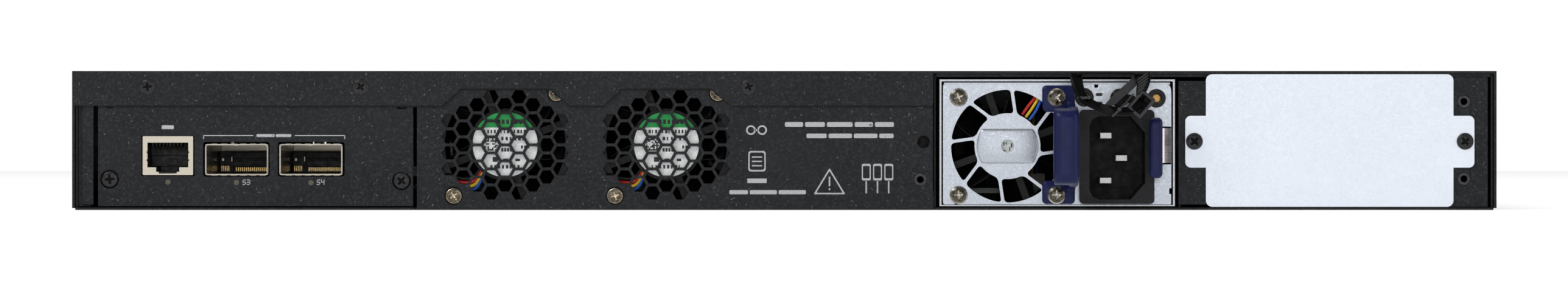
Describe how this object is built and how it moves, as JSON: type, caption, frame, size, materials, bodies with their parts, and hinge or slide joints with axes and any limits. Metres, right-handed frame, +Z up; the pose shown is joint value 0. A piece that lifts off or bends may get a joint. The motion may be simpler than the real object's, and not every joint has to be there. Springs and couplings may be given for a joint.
{
  "type": "rackmount network switch",
  "caption": "One-unit rack network switch with rear fan grilles, management jack, two module cages, one hot-swap power supply and a blank supply bay.",
  "frame": {"origin": "centre of the flat underside of the chassis box, on the resting face", "axes": "+X to the right when facing the rear (fan and supply) side, +Y from that side to the port side, +Z up"},
  "size_m": [0.443, 0.4123, 0.0433],
  "materials": {
    "black_powder_coat": "textured black powder coat",
    "zinc_steel": "matt galvanised sheet",
    "bare_steel": "satin plated sheet",
    "nickel": "nickel plated shield",
    "black_screw": "black oxide",
    "bright_screw": "zinc plated",
    "circuit_board": "solder mask",
    "brass": "machined",
    "aluminium": "extruded",
    "chip_epoxy": "moulded epoxy",
    "black_plastic": "moulded",
    "gold": "gold plated",
    "lens": "clear moulded",
    "lead_wire": "insulated wire",
    "label_film": "printed film",
    "blue_plastic": "moulded, dark blue",
    "pin_metal": "nickel plated",
    "component_mix": "assorted parts",
    "spring_steel": "spring strip"
  },
  "bodies": {
    "chassis": {"base_tray": "black_powder_coat", "top_cover": "black_powder_coat", "front_panel": "black_powder_coat", "rear_panel": "black_powder_coat", "module_plate": "black_powder_coat", "corner_strip": "black_powder_coat", "bay_side_wall": "bare_steel", "bay_divider": "black_powder_coat", "bay_end_plate": "black_powder_coat", "bay_top_lip": "black_powder_coat", "blank_cover": "zinc_steel", "blank_cover_screws": "black_screw", "cover_screws": "black_screw", "module_screws": "black_screw", "fan_screws": "bright_screw", "threaded_inserts": "black_screw", "mainboard": "circuit_board", "board_standoffs": "brass", "chip_heatsink": "aluminium", "cpu_heatsink": "aluminium", "board_chips": "chip_epoxy", "module_board": "circuit_board", "jack_shield": "nickel", "jack_insert": "black_plastic", "jack_contacts": "gold", "qsfp_cages": "bare_steel", "qsfp_connectors": "black_plastic", "rear_light_pipes": "lens", "port_shields": "bare_steel", "port_inserts": "black_plastic", "sfp_cages": "bare_steel", "sfp_connectors": "black_plastic", "console_jack": "bare_steel", "front_light_pipes": "lens", "fan_1_frame": "black_plastic", "fan_1_leads": "lead_wire", "fan_2_frame": "black_plastic", "fan_2_leads": "lead_wire", "fan_labels": "label_film", "power_backplane": "circuit_board"},
    "fan_1": {"fan_1_rotor": "black_plastic"},
    "fan_2": {"fan_2_rotor": "black_plastic"},
    "mode_button": {"front_button": "black_plastic"},
    "power_supply": {"psu_case": "bare_steel", "psu_face": "bare_steel", "psu_handle": "blue_plastic", "psu_screws": "bright_screw", "psu_inlet": "black_plastic", "psu_inlet_pins": "pin_metal", "psu_bezels": "black_plastic", "psu_lens": "lens", "psu_board": "circuit_board", "psu_components": "component_mix", "psu_fan_frame": "black_plastic", "psu_fan_leads": "lead_wire"},
    "supply_fan": {"psu_fan_rotor": "black_plastic"},
    "supply_latch": {"latch_spring": "spring_steel", "latch_tab": "blue_plastic"},
    "cord_retainer": {"retainer_strap": "black_plastic", "retainer_head": "black_plastic"}
  },
  "joints": [
    {"name": "fan_1_spin", "type": "hinge", "parent": "chassis", "child": "fan_1", "pos_m": [-0.0869, -0.1792, 0.0204], "axis": [0, 1, 0], "continuous": true},
    {"name": "fan_2_spin", "type": "hinge", "parent": "chassis", "child": "fan_2", "pos_m": [-0.0367, -0.1792, 0.0204], "axis": [0, 1, 0], "continuous": true},
    {"name": "mode_button_press", "type": "slide", "parent": "chassis", "child": "mode_button", "axis": [0, -1, 0], "range_m": [0, 0.0008], "stiffness_N_per_m": 400},
    {"name": "supply_slide", "type": "slide", "parent": "chassis", "child": "power_supply", "axis": [0, -1, 0], "range_m": [0, 0.2]},
    {"name": "supply_fan_spin", "type": "hinge", "parent": "power_supply", "child": "supply_fan", "pos_m": [0.0694, -0.181, 0.0199], "axis": [0, 1, 0], "continuous": true},
    {"name": "supply_latch_squeeze", "type": "hinge", "parent": "power_supply", "child": "supply_latch", "pos_m": [0.11995, -0.14, 0.0201], "axis": [0, 0, -1], "range_deg": [0, 2.6], "stiffness_Nm_per_rad": 8},
    {"name": "cord_retainer_swivel", "type": "hinge", "parent": "power_supply", "child": "cord_retainer", "pos_m": [0.1042, -0.195, 0.0349], "axis": [0, 1, 0], "range_deg": [-10, 10]}
  ]
}
